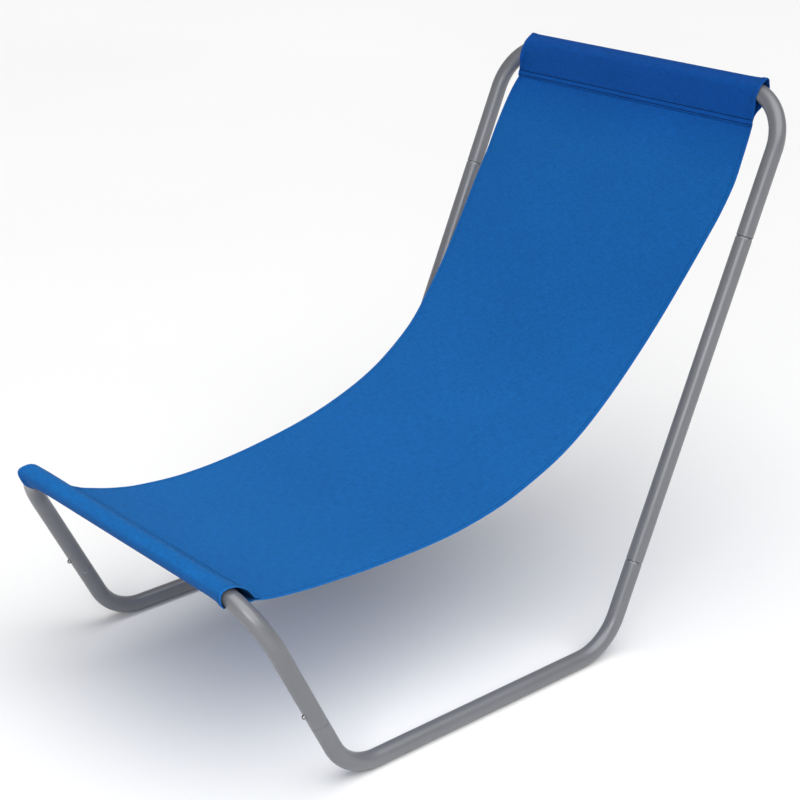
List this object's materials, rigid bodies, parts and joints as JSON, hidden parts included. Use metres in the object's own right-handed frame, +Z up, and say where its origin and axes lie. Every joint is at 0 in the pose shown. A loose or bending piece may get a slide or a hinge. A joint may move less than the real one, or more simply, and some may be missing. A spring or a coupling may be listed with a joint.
{
  "type": "beach chair",
  "caption": "Low knock-down beach chair: push-fit bent steel tube frame with snap buttons and a one-piece cloth sling sewn round its head and foot bars.",
  "frame": {"origin": "on the floor, under the middle of the chair's overall box", "axes": "+Z up, +Y from the foot bar towards the head bar, +X to the sitter's left"},
  "size_m": [0.526, 0.881, 0.6969],
  "materials": {
    "frame_paint": "satin grey powder coat",
    "spring_steel": "plain spring strip",
    "button_steel": "bright zinc plate",
    "sling_cloth": "royal blue woven polyester"
  },
  "bodies": {
    "chair_frame": {"base_rail_left": "frame_paint", "base_rail_right": "frame_paint", "back_tube_left": "frame_paint", "back_tube_right": "frame_paint", "foot_bar": "frame_paint", "snap_spring_left": "spring_steel", "snap_spring_right": "spring_steel", "sling": "sling_cloth"},
    "head_bar_assembly": {"head_bar": "frame_paint", "sling_head_pocket": "sling_cloth"},
    "snap_button_left": {"snap_button_left": "button_steel", "snap_arm_left": "spring_steel"},
    "snap_button_right": {"snap_button_right": "button_steel", "snap_arm_right": "spring_steel"}
  },
  "joints": [
    {"name": "head_bar_lift", "type": "slide", "parent": "chair_frame", "child": "head_bar_assembly", "axis": [0, 0.4147, 0.91], "range_m": [0, 0.045]},
    {"name": "snap_button_left_press", "type": "slide", "parent": "chair_frame", "child": "snap_button_left", "axis": [0, 0.9026, 0.4305], "range_m": [0, 0.0046], "stiffness_N_per_m": 3000, "springref_m": -0.001},
    {"name": "snap_button_right_press", "type": "slide", "parent": "chair_frame", "child": "snap_button_right", "axis": [0, 0.9026, 0.4305], "range_m": [0, 0.0046], "stiffness_N_per_m": 3000, "springref_m": -0.001}
  ]
}
